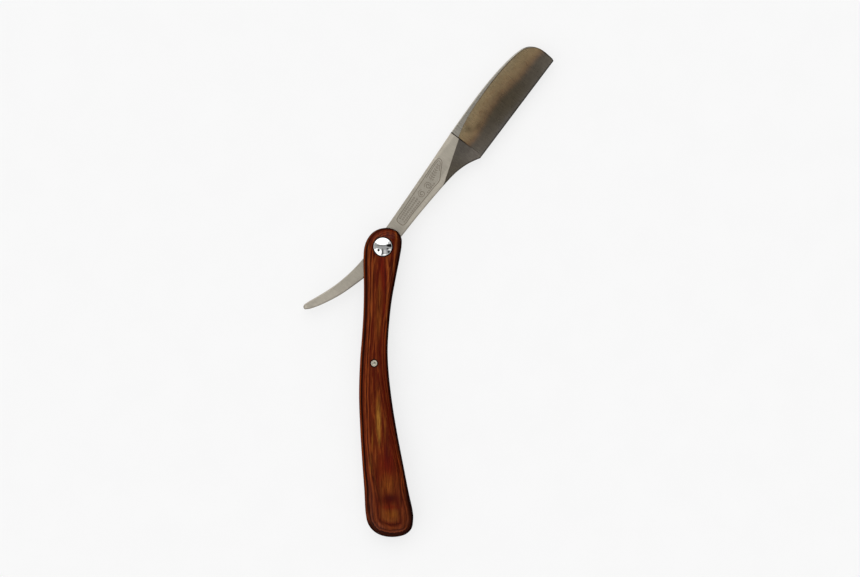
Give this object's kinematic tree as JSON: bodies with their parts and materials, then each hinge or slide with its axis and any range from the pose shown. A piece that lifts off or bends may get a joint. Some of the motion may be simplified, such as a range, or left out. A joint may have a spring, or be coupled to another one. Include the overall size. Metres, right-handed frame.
{
  "type": "straight razor",
  "caption": "Folding straight razor: hollow-ground blade on a tang with a long curved tail, pivoting between two laminated wood scales.",
  "frame": {"origin": "on the pivot's axis, in the plane that the razor rests on: the middle of the pivot screw's flat head, flush with the back scale's face", "axes": "+Z out of the front scale along the pivot's axis, +Y from the handle's heel towards its pivot end, +X to the right seen from the front; the stored pose is part open, with the cutting edge 53 degrees above +X"},
  "size_m": [0.1251, 0.2449, 0.0112],
  "materials": {
    "laminated_wood": "red-brown laminated veneer, satin lacquer",
    "spacer_fibre": "dark vulcanised fibre, sanded flush",
    "polished_steel": "mirror polished",
    "washer_brass": "turned",
    "pin_metal": "dull, nickel silver colour",
    "satin_steel": "satin, fine grain",
    "ground_steel": "hollow ground, crossways grinding marks, bronze cast"
  },
  "bodies": {
    "handle": {"front_scale": "laminated_wood", "back_scale": "laminated_wood", "heel_wedge": "spacer_fibre", "pivot_barrel": "polished_steel", "pivot_screw": "polished_steel", "front_thrust_washer": "washer_brass", "back_thrust_washer": "washer_brass", "middle_pin": "pin_metal", "stop_sleeve": "pin_metal"},
    "blade": {"tang": "satin_steel", "blade": "ground_steel"}
  },
  "joints": [
    {"name": "blade_pivot", "type": "hinge", "parent": "handle", "child": "blade", "pos_m": [0, 0, 0.0052], "axis": [0, 0, 1], "range_deg": [-136.8, 202]}
  ]
}
